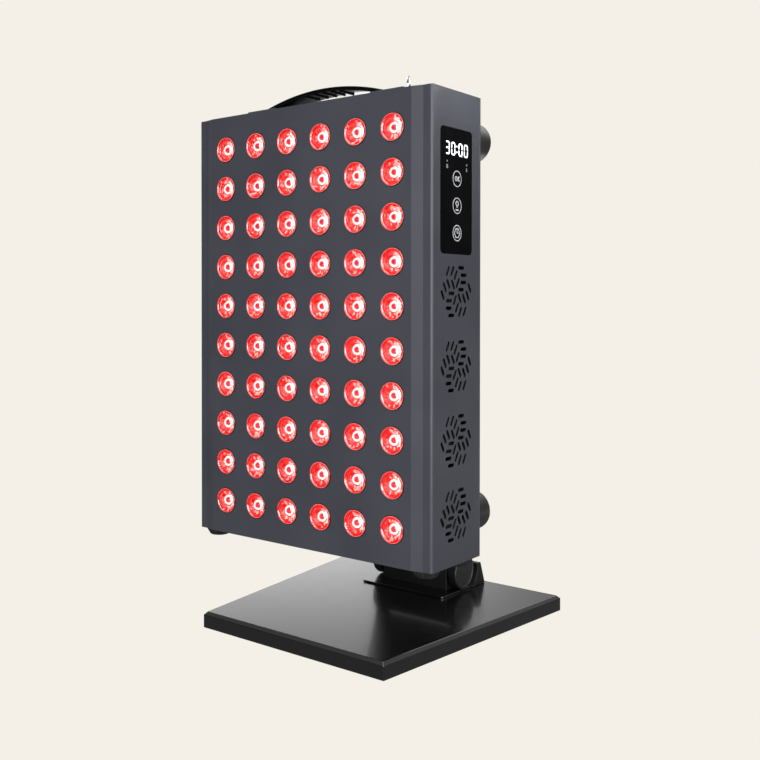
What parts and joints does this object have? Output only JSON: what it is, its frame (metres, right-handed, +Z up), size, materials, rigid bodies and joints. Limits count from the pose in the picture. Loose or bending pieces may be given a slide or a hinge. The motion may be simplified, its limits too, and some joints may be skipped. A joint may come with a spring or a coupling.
{
  "type": "red light therapy panel",
  "caption": "Upright light panel with rows of round red lenses, side touch controls and air vents, on a weighted base plate with a tilting arm.",
  "frame": {"origin": "on the table, at the centre of the base plate's footprint", "axes": "+Z up, the lenses face -Y, the control glass and the fans' vents are on the +X side"},
  "size_m": [0.261, 0.254, 0.4963],
  "materials": {
    "graphite_paint": "fine textured powder coat",
    "black_paint": "smooth satin black",
    "black_plastic": "fine matte",
    "ballast": "dull",
    "rubber": "matte",
    "handle_rubber": "matte, ribbed underneath",
    "steel": "zinc plated",
    "chrome": "polished",
    "aluminium": "plain extruded",
    "red_lens": "clear lens, lit red",
    "black_glass": "polished, opaque black",
    "circuit_board": "solder mask"
  },
  "bodies": {
    "stand": {"base_cover": "black_paint", "base_ballast": "ballast", "base_pad_front_left": "rubber", "base_pad_front_right": "rubber", "base_pad_rear_left": "rubber", "base_pad_rear_right": "rubber", "hinge_saddle": "black_paint"},
    "arm": {"arm_body": "black_paint", "arm_cover": "black_plastic", "lower_shaft": "steel", "lower_nut": "steel", "lower_cap_left": "black_plastic", "lower_cap_right": "black_plastic", "upper_shaft": "steel", "upper_nut": "steel", "upper_cap_left": "black_plastic", "upper_cap_right": "black_plastic"},
    "panel": {"panel_bracket": "black_paint", "bracket_screw_upper_left": "steel", "bracket_screw_upper_right": "steel", "bracket_screw_lower_left": "steel", "bracket_screw_lower_right": "steel", "housing": "graphite_paint", "top_cap": "graphite_paint", "bottom_cap": "graphite_paint", "rear_cover": "graphite_paint", "led_strip_1": "red_lens", "led_strip_2": "red_lens", "led_strip_3": "red_lens", "led_strip_4": "red_lens", "led_strip_5": "red_lens", "led_strip_6": "red_lens", "heat_sink": "aluminium", "fan_frame_1": "black_plastic", "fan_frame_2": "black_plastic", "fan_frame_3": "black_plastic", "fan_frame_4": "black_plastic", "control_glass": "black_glass", "control_board": "circuit_board", "led_driver": "aluminium", "mains_inlet": "black_plastic", "switch_bezel": "black_plastic", "handle_pad": "graphite_paint", "handle": "handle_rubber", "hanging_eye_left": "chrome", "hanging_eye_right": "chrome", "bumper_upper_left": "rubber", "bumper_upper_right": "rubber", "bumper_lower_left": "rubber", "bumper_lower_right": "rubber", "foot_front_left": "rubber", "foot_front_right": "rubber", "foot_rear_left": "rubber", "foot_rear_right": "rubber"},
    "rotor_1": {"fan_rotor_1": "black_plastic"},
    "rotor_2": {"fan_rotor_2": "black_plastic"},
    "rotor_3": {"fan_rotor_3": "black_plastic"},
    "rotor_4": {"fan_rotor_4": "black_plastic"},
    "rocker": {"power_rocker": "black_plastic"}
  },
  "joints": [
    {"name": "arm_tilt", "type": "hinge", "parent": "stand", "child": "arm", "pos_m": [0, 0.0807, 0.0352], "axis": [-1, 0, 0], "range_deg": [-15, 30]},
    {"name": "panel_tilt", "type": "hinge", "parent": "arm", "child": "panel", "pos_m": [0, -0.006, 0.27775], "axis": [-1, 0, 0], "range_deg": [-15, 30]},
    {"name": "fan_spin_1", "type": "hinge", "parent": "panel", "child": "rotor_1", "pos_m": [0.1187, -0.067, 0.30775], "axis": [1, 0, 0], "continuous": true},
    {"name": "fan_spin_2", "type": "hinge", "parent": "panel", "child": "rotor_2", "pos_m": [0.1187, -0.067, 0.24735], "axis": [1, 0, 0], "continuous": true},
    {"name": "fan_spin_3", "type": "hinge", "parent": "panel", "child": "rotor_3", "pos_m": [0.1187, -0.067, 0.18695], "axis": [1, 0, 0], "continuous": true},
    {"name": "fan_spin_4", "type": "hinge", "parent": "panel", "child": "rotor_4", "pos_m": [0.1187, -0.067, 0.12655], "axis": [1, 0, 0], "continuous": true},
    {"name": "power_switch", "type": "hinge", "parent": "panel", "child": "rocker", "pos_m": [-0.086, -0.0293, 0.19375], "axis": [-1, 0, 0], "range_deg": [0, 18]}
  ]
}
